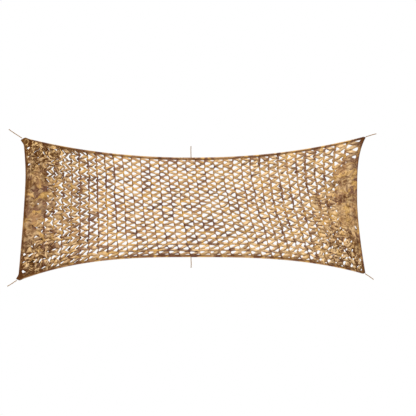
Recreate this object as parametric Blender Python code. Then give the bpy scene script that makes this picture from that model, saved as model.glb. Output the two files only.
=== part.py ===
"""Camouflage netting of leaf-cut cloth, laid flat and pulled out by six ties.

The frame is in metres. +X runs along the length, +Y across the width and +Z up. The origin is
under the middle of the net's box, on the surface that the hem lies on.
"""
import math
import random

import bmesh
import bpy
from mathutils import Vector
from mathutils.geometry import delaunay_2d_cdt

# The net as it is pulled out. The waist of an edge is where it comes nearest to the middle.
TOP_WAIST_Y = 0.782
BOTTOM_WAIST_Y = -0.738
MIDDLE_TIE_X = 0.005
LEFT_WAIST = Vector((-2.518, 0.500))
RIGHT_WAIST = Vector((2.538, 0.120))

# How sharply each half of an edge turns out towards its corner: 1 is straight, more is later.
EDGE_POWERS = {
    "top": (2.1, 2.15),
    "right": (4.0, 1.5),
    "bottom": (2.9, 2.8),
    "left": (1.3, 1.85),
}
LONG_EDGE_STEPS = 34
SHORT_EDGE_STEPS = 15

# Each corner is drawn together into a tip of cloth, square to the tie that pulls it.
# corner: (tip x, tip y, tip width, gathered neck length, tie angle in degrees, tie length)
CORNERS = {
    "top_left": (-2.572, 1.077, 0.067, 0.050, 146.0, 0.240),
    "top_right": (2.665, 1.096, 0.020, 0.0, 16.0, 0.170),
    "bottom_right": (2.655, -0.986, 0.026, 0.0, -35.0, 0.160),
    "bottom_left": (-2.650, -1.090, 0.046, 0.040, 212.0, 0.170),
}
# middle tie: (the side of the net that it leaves, tie length)
MIDDLE_TIES = {
    "top_middle": (1.0, 0.172),
    "bottom_middle": (-1.0, 0.162),
}

# Cloth and hem.
CLOTH_THICKNESS = 0.002
HEM_THICKNESS = 0.0035
HEM_WIDTH = 0.022
HEM_STEP = 0.005
CORNER_PATCH = 0.095
HEM_CLEARANCE = 0.010

# The truss of openings: columns between upright lines, and rows that keep their count.
COLUMNS = 18
ROWS = 8
ROW_MARGIN = 0.036
LINE_HALF_WIDTH = 0.095
OPENING_REACH = 0.79
OPENING_MID = 0.52
BASE_HALF_HEIGHT = 0.37
MID_HALF_HEIGHT = 0.155
HALF_OPENING_SILL = 0.05
OPENING_JITTER = 0.028
SMALLEST_OPENING = 0.55
LINE_SWAY = 0.010
ROW_SWAY = 0.008
LINE_LEAN = 0.105
LEAN_POWER = 10

# Where the leaves stay closed. Each patch is an ellipse in (along, across) shares of the net.
# patch: (centre along, centre across, half length, half width)
CLOSED_PATCHES = (
    (0.000, 0.50, 0.070, 0.62),
    (0.030, 0.97, 0.085, 0.16),
    (1.000, 0.54, 0.066, 0.31),
)
PATCH_FADE = 1.2
FOLD_POINT_SPACING = 0.060

# Folds of the loose cloth, each a soft ridge between two points in shares of the net.
# fold: (start along, start across, end along, end across, half width, height)
FOLDS = (
    (0.010, 0.12, 0.016, 0.86, 0.055, 0.018),
    (0.034, 0.20, 0.040, 0.74, 0.060, 0.026),
    (0.060, 0.30, 0.058, 0.66, 0.050, 0.015),
    (0.012, 0.93, 0.080, 0.80, 0.050, 0.024),
    (0.030, 0.98, 0.140, 0.90, 0.045, 0.018),
    (0.014, 0.80, 0.050, 0.56, 0.045, 0.017),
    (0.020, 0.06, 0.075, 0.22, 0.050, 0.018),
    (0.986, 0.20, 0.990, 0.82, 0.050, 0.018),
    (0.962, 0.16, 0.955, 0.72, 0.060, 0.026),
    (0.938, 0.34, 0.946, 0.60, 0.045, 0.015),
    (0.930, 0.78, 0.990, 0.90, 0.045, 0.014),
    (0.925, 0.12, 0.985, 0.07, 0.045, 0.014),
)
RIBBON_RISE = 0.012
SWELL_RISE = 0.006
SWELL_LENGTH = 0.62
RISE_INSET = 0.09

# Tie cord.
CORD_DIAMETER = 0.012
CORD_FLOOR_GAP = 0.0002
CORD_BOW = 0.004
CORD_POINT_SPACING = 2.5 * CORD_DIAMETER
SEAT_GAP = 0.0003
CORD_BEVEL_RESOLUTION = 3

# Surface finishes: colour, roughness and metallic value.
CLOTH_FINISH = ((0.42, 0.26, 0.11, 1.0), 0.85, 0.0)
CORD_FINISH = ((0.62, 0.50, 0.30, 1.0), 0.80, 0.0)


def clear_scene():
    """Remove what the new file holds."""
    for old in list(bpy.data.objects):
        bpy.data.objects.remove(old, do_unlink=True)


def make_material(name, finish):
    """A Principled material from a colour, a roughness and a metallic value."""
    colour, roughness, metallic = finish
    material = bpy.data.materials.new(name)
    material.use_nodes = True
    shader = material.node_tree.nodes["Principled BSDF"]
    shader.inputs["Base Color"].default_value = colour
    shader.inputs["Roughness"].default_value = roughness
    shader.inputs["Metallic"].default_value = metallic
    return material


def tie_direction(corner):
    """The unit vector in which a corner's tie pulls."""
    angle = math.radians(CORNERS[corner][4])
    return Vector((math.cos(angle), math.sin(angle)))


def tip_points(corner, distance):
    """Two points across a corner's tip, at a distance behind its end."""
    x, y, width = CORNERS[corner][:3]
    pull = tie_direction(corner)
    across = Vector((-pull.y, pull.x)) * (width / 2.0)
    middle = Vector((x, y)) - pull * distance
    return middle - across, middle + across


def bowed_edge(start, end, waist, along, powers, steps):
    """Points of an edge that bows in from both of its ends to its waist.

    The offset from the waist grows with a power of the share of the way to each end.
    """
    across = 1 - along
    points = []
    for step in range(steps + 1):
        place = start[along] + (end[along] - start[along]) * step / steps
        towards_end = (place - waist[along]) * (end[along] - start[along]) > 0.0
        tip = end if towards_end else start
        power = powers[1] if towards_end else powers[0]
        share = abs((place - waist[along]) / (tip[along] - waist[along]))
        point = Vector((0.0, 0.0))
        point[along] = place
        point[across] = waist[across] + (tip[across] - waist[across]) * share ** power
        points.append(point)
    return points


def net_edges():
    """The four edges, clockwise from the top left corner, each as a list of points."""
    roots = {}
    for corner in CORNERS:
        roots[corner] = tip_points(corner, CORNERS[corner][3])
    top_waist = Vector((MIDDLE_TIE_X, TOP_WAIST_Y))
    bottom_waist = Vector((MIDDLE_TIE_X, BOTTOM_WAIST_Y))
    return {
        "top": bowed_edge(roots["top_left"][0], roots["top_right"][1], top_waist, 0,
                          EDGE_POWERS["top"], LONG_EDGE_STEPS),
        "right": bowed_edge(roots["top_right"][0], roots["bottom_right"][1], RIGHT_WAIST, 1,
                            EDGE_POWERS["right"], SHORT_EDGE_STEPS),
        "bottom": bowed_edge(roots["bottom_right"][0], roots["bottom_left"][1], bottom_waist, 0,
                             EDGE_POWERS["bottom"], LONG_EDGE_STEPS),
        "left": bowed_edge(roots["bottom_left"][0], roots["top_left"][1], LEFT_WAIST, 1,
                           EDGE_POWERS["left"], SHORT_EDGE_STEPS),
    }


def outline_of(edges):
    """The closed outline, with the gathered neck of a corner that has one."""
    outline = []
    corner_after = {"top": "top_right", "right": "bottom_right",
                    "bottom": "bottom_left", "left": "top_left"}
    for side, points in edges.items():
        outline.extend(points)
        corner = corner_after[side]
        if CORNERS[corner][3] > 0.0:
            near, far = tip_points(corner, 0.0)
            outline.extend((far, near))
    return outline


def inset_line(edges, distance):
    """A closed line at a distance inside the edges, cut straight across the corners."""
    line = []
    for points in edges.values():
        for index in range(1, len(points) - 1):
            point = points[index]
            clear = min((point - points[0]).length, (point - points[-1]).length)
            if clear < CORNER_PATCH:
                continue
            run = (points[index + 1] - points[index - 1]).normalized()
            inward = Vector((run.y, -run.x))
            line.append(point + inward * distance)
    return line


def point_on(points, share):
    """The point at a share of the way along a list of evenly spaced points."""
    place = min(max(share, 0.0), 1.0) * (len(points) - 1)
    index = min(int(place), len(points) - 2)
    return points[index].lerp(points[index + 1], place - index)


def edge_point_at(points, x):
    """The point of a long edge at a place along X, on the straight side that it falls in."""
    for start, end in zip(points, points[1:]):
        if min(start.x, end.x) <= x <= max(start.x, end.x):
            return start.lerp(end, (x - start.x) / (end.x - start.x))
    raise ValueError("the edge does not pass this place")


def net_point(edges, along, across):
    """The point of the pulled-out net at its shares along and across (a Coons patch)."""
    top = point_on(edges["top"], along)
    bottom = point_on(edges["bottom"], 1.0 - along)
    left = point_on(edges["left"], across)
    right = point_on(edges["right"], 1.0 - across)
    low_left, low_right = edges["bottom"][-1], edges["bottom"][0]
    high_left, high_right = edges["top"][0], edges["top"][-1]
    between_long = bottom.lerp(top, across)
    between_short = left.lerp(right, along)
    flat = low_left.lerp(low_right, along).lerp(high_left.lerp(high_right, along), across)
    return between_long + between_short - flat


def patch_depth(along, across):
    """How far inside the closed patches a place is: 1 on a rim, less inside."""
    depths = []
    for centre_along, centre_across, half_length, half_width in CLOSED_PATCHES:
        reach_along = (along - centre_along) / half_length
        reach_across = (across - centre_across) / half_width
        depths.append(math.hypot(reach_along, reach_across))
    return min(depths)


def line_lean(along, across):
    """How far along the truss leans at a place: its lines run down to the right, less to the left."""
    return LINE_LEAN * along * (1.0 - along ** LEAN_POWER) * (0.5 - across)


def lattice_place(column, share, row):
    """Shares along and across of a place in the truss, with the sway of its lines and rows."""
    along = (column + share) / COLUMNS
    across = ROW_MARGIN + (1.0 - 2.0 * ROW_MARGIN) * row / ROWS
    free = math.sin(math.pi * along) * math.sin(math.pi * across)
    sway = LINE_SWAY * math.sin(9.0 * across + 5.0 * along) / 2.0
    drift = ROW_SWAY * math.sin(17.0 * along + 4.0 * across)
    return along + line_lean(along, across) + sway * free, across + drift * free


def opening_shapes():
    """Each opening as a list of (share across its column, rows from its centre) corners."""
    base = LINE_HALF_WIDTH
    whole = (
        (base, -BASE_HALF_HEIGHT),
        (OPENING_MID, -MID_HALF_HEIGHT),
        (OPENING_REACH, 0.0),
        (OPENING_MID, MID_HALF_HEIGHT),
        (base, BASE_HALF_HEIGHT),
    )
    half = (
        (base, HALF_OPENING_SILL),
        (OPENING_REACH - 0.1, HALF_OPENING_SILL),
        (OPENING_MID, MID_HALF_HEIGHT),
        (base, BASE_HALF_HEIGHT),
    )
    return whole, half


def openings(edges, cloth_line):
    """Polygons of the openings: bases on the left lines, and half a row on, on the right."""
    noise = random.Random(21)
    whole, half = opening_shapes()
    polygons = []
    for column in range(COLUMNS):
        for half_row in range(2 * ROWS + 1):
            centre_row = half_row / 2.0
            from_left = half_row % 2 == 1
            shape = whole
            turn = 1.0
            if half_row in (0, 2 * ROWS):
                shape = half
                turn = 1.0 if half_row == 0 else -1.0
            along, across = lattice_place(column, 0.5, centre_row)
            depth = patch_depth(along, across)
            if depth < 1.0:
                continue
            openness = min((depth - 1.0) / PATCH_FADE, 1.0)
            width = SMALLEST_OPENING + (1.0 - SMALLEST_OPENING) * openness
            polygon = []
            for share, rows in shape:
                unevenness = noise.uniform(-OPENING_JITTER, OPENING_JITTER)
                reach = LINE_HALF_WIDTH + (share - LINE_HALF_WIDTH) * width + unevenness
                side = reach if from_left else 1.0 - reach
                row = centre_row + turn * rows * (1.0 + width) / 2.0 + unevenness * turn
                polygon.append(net_point(edges, *lattice_place(column, side, row)))
            if all(inside(point, cloth_line) for point in polygon):
                if min(clearance(point, [cloth_line]) for point in polygon) > HEM_CLEARANCE:
                    polygons.append(polygon)
    return polygons


def fold_points(edges, keep_from):
    """Loose points over the closed patches, so that the cloth there can fold."""
    points = []
    length = (edges["top"][-1] - edges["top"][0]).length
    height = (edges["left"][-1] - edges["left"][0]).length
    columns = round(length / FOLD_POINT_SPACING)
    rows = round(height / FOLD_POINT_SPACING)
    for column in range(columns):
        for row in range(rows):
            along = (column + 0.5) / columns
            across = (row + 0.25 + 0.5 * (column % 2)) / rows
            if patch_depth(along, across) > 1.05:
                continue
            point = net_point(edges, along, across)
            if clearance(point, keep_from) > FOLD_POINT_SPACING * 0.5:
                points.append(point)
    return points


def clearance(point, polygons):
    """The distance from a point to the nearest side of some polygons."""
    best = math.inf
    for polygon in polygons:
        for index, start in enumerate(polygon):
            run = polygon[(index + 1) % len(polygon)] - start
            share = min(max((point - start).dot(run) / run.length_squared, 0.0), 1.0)
            best = min(best, (start + run * share - point).length)
    return best


def rise(edges, folds, hem_line, point):
    """Height of the cloth's underside at a point: folds, lifted ribbons and a long swell."""
    inset = min(clearance(point, [hem_line]) / RISE_INSET, 1.0)
    height = 0.0
    for start, end, half_width, fold_height in folds:
        run = end - start
        share = min(max((point - start).dot(run) / run.length_squared, 0.0), 1.0)
        away = (start + run * share - point).length / half_width
        height = max(height, fold_height * math.exp(-away * away))
    length = edges["top"][-1].x - edges["top"][0].x
    along = min(max((point.x - edges["top"][0].x) / length, 0.0), 1.0)
    across = min(max((point.y - BOTTOM_WAIST_Y) / (TOP_WAIST_Y - BOTTOM_WAIST_Y), 0.0), 1.0)
    column_share = (along - line_lean(along, across)) * COLUMNS
    ribbon = RIBBON_RISE * math.sin(math.pi * (column_share % 1.0)) ** 2
    swell = SWELL_RISE * (1.0 + math.sin(math.tau * point.x / SWELL_LENGTH + 3.0 * point.y)) / 2.0
    return (height + ribbon + swell) * inset * inset * (3.0 - 2.0 * inset)


def counter_clockwise(loop):
    """The same closed line, running counter-clockwise seen from above."""
    area = sum(loop[index - 1].cross(loop[index]) for index in range(len(loop)))
    return loop if area > 0.0 else list(reversed(loop))


def build_panel(edges, centre, material):
    """The cloth: outline, hem and openings filled as one sheet, folded and given thickness."""
    outline = outline_of(edges)
    hem_line = inset_line(edges, HEM_WIDTH)
    cloth_line = inset_line(edges, HEM_WIDTH + HEM_STEP)
    holes = openings(edges, cloth_line)
    loose = fold_points(edges, [cloth_line] + holes)

    points = []
    loops = []
    for loop in [outline, hem_line, cloth_line] + holes:
        first = len(points)
        points.extend(counter_clockwise(loop))
        loops.append([first + index for index in range(len(loop))])
    points.extend(loose)
    hem_sides = []
    for loop in loops[1:3]:
        hem_sides.extend((loop[index - 1], loop[index]) for index in range(len(loop)))
    regions = [loops[0]] + loops[3:]
    filled = delaunay_2d_cdt(points, hem_sides, regions, 0, 1e-6, True)
    flat_points, _, triangles, sources, _, regions_of = filled

    folds = []
    for start_along, start_across, end_along, end_across, half_width, height in FOLDS:
        start = net_point(edges, start_along, start_across)
        end = net_point(edges, end_along, end_across)
        folds.append((start, end, half_width, height))

    hem_count = len(outline) + len(hem_line)
    mesh = bmesh.new()
    under = []
    upper = []
    for index, point in enumerate(flat_points):
        on_hem = sources[index][0] < hem_count
        low = 0.0 if on_hem else rise(edges, folds, cloth_line, point)
        high = HEM_THICKNESS if on_hem else low + CLOTH_THICKNESS
        place = point - centre
        under.append(mesh.verts.new((place.x, place.y, low)))
        upper.append(mesh.verts.new((place.x, place.y, high)))
    for triangle, region in zip(triangles, regions_of):
        if list(region) != [0]:
            continue
        mesh.faces.new([upper[index] for index in triangle])
        mesh.faces.new([under[index] for index in reversed(triangle)])
    rims = [edge for edge in mesh.edges if edge.is_boundary]
    pairs = {upper[index]: under[index] for index in range(len(upper))}
    for edge in rims:
        first, second = edge.verts
        if first in pairs:
            mesh.faces.new((second, first, pairs[first], pairs[second]))
    bmesh.ops.delete(mesh, geom=[v for v in mesh.verts if not v.link_faces], context="VERTS")
    bmesh.ops.recalc_face_normals(mesh, faces=mesh.faces)

    data = bpy.data.meshes.new("net_panel")
    mesh.to_mesh(data)
    mesh.free()
    data.materials.append(material)
    panel = bpy.data.objects.new("net_panel", data)
    bpy.context.collection.objects.link(panel)
    return panel


def inside(point, polygon):
    """Whether a point lies inside a polygon, by counting the sides to its right."""
    crossings = 0
    for index, start in enumerate(polygon):
        end = polygon[(index + 1) % len(polygon)]
        if (start.y > point.y) != (end.y > point.y):
            share = (point.y - start.y) / (end.y - start.y)
            crossings += point.x < start.x + share * (end.x - start.x)
    return crossings % 2 == 1


def build_tie(name, seat, pull, length, material):
    """A taut cord from its seat at the hem to its bare free end, lying on the surface."""
    height = CORD_DIAMETER / 2.0 + CORD_FLOOR_GAP
    across = Vector((-pull.y, pull.x))
    steps = max(round(length / CORD_POINT_SPACING), 4)
    data = bpy.data.curves.new(name, "CURVE")
    data.dimensions = "3D"
    data.bevel_depth = CORD_DIAMETER / 2.0
    data.bevel_resolution = CORD_BEVEL_RESOLUTION
    data.use_fill_caps = True
    spline = data.splines.new("POLY")
    spline.points.add(steps)
    for step in range(steps + 1):
        share = step / steps
        bow = CORD_BOW * math.sin(math.pi * share) * share
        place = seat + pull * (SEAT_GAP + length * share) + across * bow
        spline.points[step].co = (place.x, place.y, height, 1.0)
    data.materials.append(material)
    tie = bpy.data.objects.new(name, data)
    bpy.context.collection.objects.link(tie)
    return tie


def build():
    """The net and its six ties."""
    clear_scene()
    edges = net_edges()
    outline = outline_of(edges)
    low = Vector((min(point.x for point in outline), min(point.y for point in outline)))
    high = Vector((max(point.x for point in outline), max(point.y for point in outline)))
    centre = (low + high) / 2.0
    build_panel(edges, centre, make_material("camouflage_cloth", CLOTH_FINISH))
    cord = make_material("tie_cord", CORD_FINISH)
    for corner, (x, y, _, _, _, length) in CORNERS.items():
        build_tie("tie_" + corner, Vector((x, y)) - centre, tie_direction(corner), length, cord)
    for name, (side, length) in MIDDLE_TIES.items():
        seat = edge_point_at(edges["top" if side > 0.0 else "bottom"], MIDDLE_TIE_X) - centre
        build_tie("tie_" + name, seat, Vector((0.0, side)), length, cord)


build()
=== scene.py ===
import math

import bmesh
import bpy
import numpy as np
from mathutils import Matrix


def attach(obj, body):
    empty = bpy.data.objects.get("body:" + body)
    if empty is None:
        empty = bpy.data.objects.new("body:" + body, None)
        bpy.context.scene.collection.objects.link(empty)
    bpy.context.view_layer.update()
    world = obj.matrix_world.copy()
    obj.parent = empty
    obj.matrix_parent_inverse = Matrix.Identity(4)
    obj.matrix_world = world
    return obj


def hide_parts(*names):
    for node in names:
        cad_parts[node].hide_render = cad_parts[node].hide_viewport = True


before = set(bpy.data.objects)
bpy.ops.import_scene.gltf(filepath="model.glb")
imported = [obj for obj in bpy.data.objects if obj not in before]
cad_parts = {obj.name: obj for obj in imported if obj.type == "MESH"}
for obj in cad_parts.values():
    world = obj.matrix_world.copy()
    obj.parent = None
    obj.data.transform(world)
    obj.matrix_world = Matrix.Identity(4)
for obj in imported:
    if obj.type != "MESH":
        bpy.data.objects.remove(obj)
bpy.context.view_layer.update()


# ---------------------------------------------------------------- View
# The net lies flat and is seen from straight above. The view is 416 pixels wide, and each of
# its pixels is 15.24 mm on the net.
PIXEL = 0.01524
VIEW_PIXELS = 416
VIEW_CENTRE = (0.261, 0.014)
CAMERA_HEIGHT = 20.0
CAMERA_REACH = 80.0

camera_data = bpy.data.cameras.new("view_from_above")
camera_data.type = "ORTHO"
camera_data.ortho_scale = VIEW_PIXELS * PIXEL
camera_data.clip_end = CAMERA_REACH
camera = bpy.data.objects.new("view_from_above", camera_data)
camera.location = (VIEW_CENTRE[0], VIEW_CENTRE[1], CAMERA_HEIGHT)
bpy.context.collection.objects.link(camera)
bpy.context.scene.camera = camera


# ---------------------------------------------------------------- Tie cords
# Six short cords pull the net out. Each is jute laid up from three plies, about 12 mm thick,
# fastened at the hem and held straight, with its free end cut and left bare.
CORD_DIAMETER = 0.012
CORD_FLOOR_GAP = 0.0002
CORD_BOW = 0.004
CORD_PLIES = 3
CORD_LAY = 0.042
CORD_RING_STEP = 0.0015
LEAST_RINGS = 8
CORD_SIDES = 24
CORD_STEPS = 15
SEAT_GAP = 0.0003
# The furrow between two plies as a share of the cord's radius, and how far above it a ply is.
FURROW = 0.83
PLY_RISE = 0.17
# The length of the cut end that has opened, and by what share its plies spread.
FRAY_LENGTH = 0.012
FRAY_SPREAD = 0.22
# Streaks of fibre: how many to a metre, how deep they are, and their tones from low to high.
FIBRE_STREAKS = 420.0
FIBRE_DEPTH = 0.0006
FIBRE_TONES = ((0.32, "#6E4A04"), (0.68, "#B07C1E"))

# corner: (tip x, tip y, tip width, gathered neck length, tie angle in degrees, tie length)
CORNERS = {
    "top_left": (-2.572, 1.077, 0.067, 0.050, 146.0, 0.240),
    "top_right": (2.665, 1.096, 0.020, 0.0, 16.0, 0.170),
    "bottom_right": (2.655, -0.986, 0.026, 0.0, -35.0, 0.160),
    "bottom_left": (-2.650, -1.090, 0.046, 0.040, 212.0, 0.170),
}
MIDDLE_TIE_X = 0.005
# middle tie: (hem y there, the side of the net that it leaves, tie length)
MIDDLE_TIES = {
    "top_middle": (0.7820, 1.0, 0.172),
    "bottom_middle": (-0.7380, -1.0, 0.162),
}


def heading(degrees):
    """A step of 1 m over the ground, at an angle from the net's length."""
    angle = math.radians(degrees)
    return np.array((math.cos(angle), math.sin(angle)))


def tip_points(corner, distance):
    """Two points across a corner's tip, at a distance behind its end."""
    x, y, width, _, angle, _ = CORNERS[corner]
    pull = heading(angle)
    across = np.array((-pull[1], pull[0])) * width / 2.0
    middle = np.array((x, y)) - pull * distance
    return middle - across, middle + across


# The middle of the box around the four tips is the frame's origin.
all_tips = np.array([point for corner in CORNERS for point in tip_points(corner, 0.0)])
NET_CENTRE = (all_tips.min(axis=0) + all_tips.max(axis=0)) / 2.0


def linear(colour):
    """An sRGB hex colour as linear red, green, blue and alpha."""
    parts = np.array([int(colour[place:place + 2], 16) / 255.0 for place in (1, 3, 5)])
    low = parts / 12.92
    high = ((parts + 0.055) / 1.055) ** 2.4
    return (*np.where(parts <= 0.04045, low, high), 1.0)


def add_node(tree, kind, sockets=None, **settings):
    """Add a node with its settings, and give its sockets values or links."""
    node = tree.nodes.new(kind)
    for name, value in settings.items():
        setattr(node, name, value)
    for socket, value in (sockets or {}).items():
        if isinstance(value, bpy.types.NodeSocket):
            tree.links.new(value, node.inputs[socket])
        else:
            node.inputs[socket].default_value = value
    return node


def new_material(name, roughness, specular):
    """A Principled material with its node tree and shader."""
    material = bpy.data.materials.new(name)
    material.use_nodes = True
    shader = material.node_tree.nodes["Principled BSDF"]
    shader.inputs["Roughness"].default_value = roughness
    shader.inputs["Specular IOR Level"].default_value = specular
    return material, material.node_tree, shader


def mesh_piece(name, points, faces, material):
    """A smooth mesh object from an array of points and rows of corner numbers."""
    mesh = bpy.data.meshes.new(name)
    mesh.from_pydata(points.tolist(), [], faces)
    mesh.polygons.foreach_set("use_smooth", np.ones(len(mesh.polygons), dtype=bool))
    mesh.materials.append(material)
    piece = bpy.data.objects.new(name, mesh)
    bpy.context.collection.objects.link(piece)
    return piece


def cord_route(seat, pull, length):
    """The cord's middle line: straight along the pull, with a slight bow to one side."""
    share = np.linspace(0.0, 1.0, CORD_STEPS)[:, None]
    across = np.array((-pull[1], pull[0]))
    bow = CORD_BOW * np.sin(math.pi * share) * share
    flat = seat + pull * (SEAT_GAP + length * share) + across * bow
    height = np.full((CORD_STEPS, 1), CORD_DIAMETER / 2.0 + CORD_FLOOR_GAP)
    return np.hstack((flat, height))


def cord_surface(route):
    """Points of a laid cord, on a grid of rings along it and sides around it.

    The section is a circle with one lobe for each ply, radius = half the diameter times
    (furrow + ply rise |cos|), and it turns once in each lay length. The cut end opens a
    little, and where it would pass into the surface that it lies on, it is flat.
    """
    steps = np.concatenate(([0.0], np.cumsum(np.linalg.norm(np.diff(route, axis=0), axis=1))))
    length = steps[-1]
    rings = np.linspace(0.0, length, max(int(length / CORD_RING_STEP), LEAST_RINGS))
    middle = np.stack([np.interp(rings, steps, route[:, axis]) for axis in range(3)], axis=1)
    run = np.gradient(middle, axis=0)
    run /= np.linalg.norm(run, axis=1, keepdims=True)
    side = np.stack((-run[:, 1], run[:, 0], np.zeros(len(run))), axis=1)
    up = np.array((0.0, 0.0, 1.0))
    around = np.linspace(0.0, 2.0 * math.pi, CORD_SIDES, endpoint=False)
    turn = around[None, :] - 2.0 * math.pi * rings[:, None] / CORD_LAY
    lobe = FURROW + PLY_RISE * np.abs(np.cos(turn * CORD_PLIES / 2.0))
    frayed = np.clip((rings - (length - FRAY_LENGTH)) / FRAY_LENGTH, 0.0, 1.0)[:, None]
    spread = 1.0 + FRAY_SPREAD * frayed * (lobe - FURROW) / PLY_RISE
    radius = CORD_DIAMETER / 2.0 * lobe * spread
    points = (middle[:, None, :]
              + (radius * np.cos(around))[:, :, None] * side[:, None, :]
              + (radius * np.sin(around))[:, :, None] * up)
    points[..., 2] = np.maximum(points[..., 2], CORD_FLOOR_GAP)
    return points, rings, middle


def cord_faces(rings, sides):
    """Quads between neighbouring rings, and a fan on a middle point at each end."""
    ring, place = np.meshgrid(np.arange(rings - 1), np.arange(sides), indexing="ij")
    following = (place + 1) % sides
    quads = np.stack((ring * sides + place, ring * sides + following,
                      (ring + 1) * sides + following, (ring + 1) * sides + place), axis=-1)
    faces = quads.reshape(-1, 4).tolist()
    near, far = rings * sides, rings * sides + 1
    last = (rings - 1) * sides
    for place in range(sides):
        following = (place + 1) % sides
        faces.append((near, following, place))
        faces.append((far, last + place, last + following))
    return faces


def jute_material():
    """Jute: dull straw-coloured bast fibre, spun and laid, so it is matt and streaked."""
    material, tree, shader = new_material("laid_jute", roughness=0.86, specular=0.2)
    place = add_node(tree, "ShaderNodeTexCoord")
    streaks = add_node(tree, "ShaderNodeTexNoise",
                       {"Vector": place.outputs["Object"], "Scale": FIBRE_STREAKS,
                        "Detail": 4.0})
    tone = add_node(tree, "ShaderNodeValToRGB", {"Fac": streaks.outputs["Fac"]})
    for stop, (position, colour) in zip(tone.color_ramp.elements, FIBRE_TONES):
        stop.position = position
        stop.color = linear(colour)
    fibres = add_node(tree, "ShaderNodeBump",
                      {"Height": streaks.outputs["Fac"], "Strength": 0.5,
                       "Distance": FIBRE_DEPTH})
    tree.links.new(tone.outputs["Color"], shader.inputs["Base Color"])
    tree.links.new(fibres.outputs["Normal"], shader.inputs["Normal"])
    return material


jute = jute_material()
# tie: (where it is fastened, the way it pulls, its length)
ties = {}
for corner, (tip_x, tip_y, _, _, angle, tie_length) in CORNERS.items():
    ties[corner] = (np.array((tip_x, tip_y)) - NET_CENTRE, heading(angle), tie_length)
for name, (hem_y, side, tie_length) in MIDDLE_TIES.items():
    ties[name] = (np.array((MIDDLE_TIE_X, hem_y)) - NET_CENTRE, np.array((0.0, side)), tie_length)

for name, (seat, pull, tie_length) in ties.items():
    route = cord_route(seat, pull, tie_length)
    surface, rings, middle = cord_surface(route)
    points = np.vstack((surface.reshape(-1, 3), middle[[0, -1]]))
    cord = mesh_piece("cord_" + name, points, cord_faces(len(rings), CORD_SIDES), jute)
    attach(cord, "root")
    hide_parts("tie_" + name)


# ---------------------------------------------------------------- Net panel
# One width of printed polyester cloth, cut with rows of leaves and pulled open, so that it
# stands in upright lines with a zigzag ribbon of curled leaves between each two. Its edge is
# turned over once and sewn down as a hem all round.
COLUMNS = 36
ROWS = 16
FLAT_LENGTH = 5.25
FLAT_WIDTH = 2.05
HEM_WIDTH = 0.022
MARGIN = 0.020

# Outline: the length and width of the net inside its tips, the point where each edge is
# bowed in most, and the powers of its bow towards its start and towards its end.
NET_LENGTH = 5.1
NET_WIDTH = 2.1
TOP_WAIST = (MIDDLE_TIE_X, 0.782)
BOTTOM_WAIST = (MIDDLE_TIE_X, -0.738)
LEFT_WAIST = (-2.518, 0.500)
RIGHT_WAIST = (2.538, 0.120)
EDGE_POWERS = {"top": (2.1, 2.15), "right": (1.5, 4.0), "bottom": (2.8, 2.9), "left": (1.3, 1.85)}
# How far a tip's width and a gathered neck are felt in the net.
TIP_REACH = 0.012
TIP_FADE = 0.25
NECK_REACH = 0.030
# Which of the two points of its tip a long edge ends on. The short edge ends on the other.
LONG_EDGE_POINT = {"top_left": 0, "top_right": 1, "bottom_right": 0, "bottom_left": 1}


def smooth_step(value, low, high):
    """A soft step from 0 at a low value to 1 at a high one."""
    way = np.clip((value - low) / (high - low), 0.0, 1.0)
    return way * way * (3.0 - 2.0 * way)


def soft_fall(value, low, high):
    """A soft step from 1 at a low value to 0 at a high one."""
    return 1.0 - smooth_step(value, low, high)


def soft_band(value, rise, fall):
    """A soft step up from 0 to 1 over the rise, and down again over the fall."""
    return smooth_step(value, *rise) * soft_fall(value, *fall)


def blend(first, second, share):
    """The first value, going over to the second with the share."""
    return first + (second - first) * share


def bowed(share, start, end, waist, along, powers):
    """Points of an edge that bows in to its waist.

    The offset from the waist grows with a power of the share of the way to each end.
    """
    across = 1 - along
    place = start[along] + (end[along] - start[along]) * share
    to_end = (place - waist[along]) * (end[along] - start[along]) > 0.0
    tip_along = np.where(to_end, end[along], start[along])
    tip_across = np.where(to_end, end[across], start[across])
    power = np.where(to_end, powers[1], powers[0])
    way = np.abs((place - waist[along]) / (tip_along - waist[along])) ** power
    points = np.empty(np.shape(share) + (2,))
    points[..., along] = place
    points[..., across] = waist[across] + (tip_across - waist[across]) * way
    return points


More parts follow.
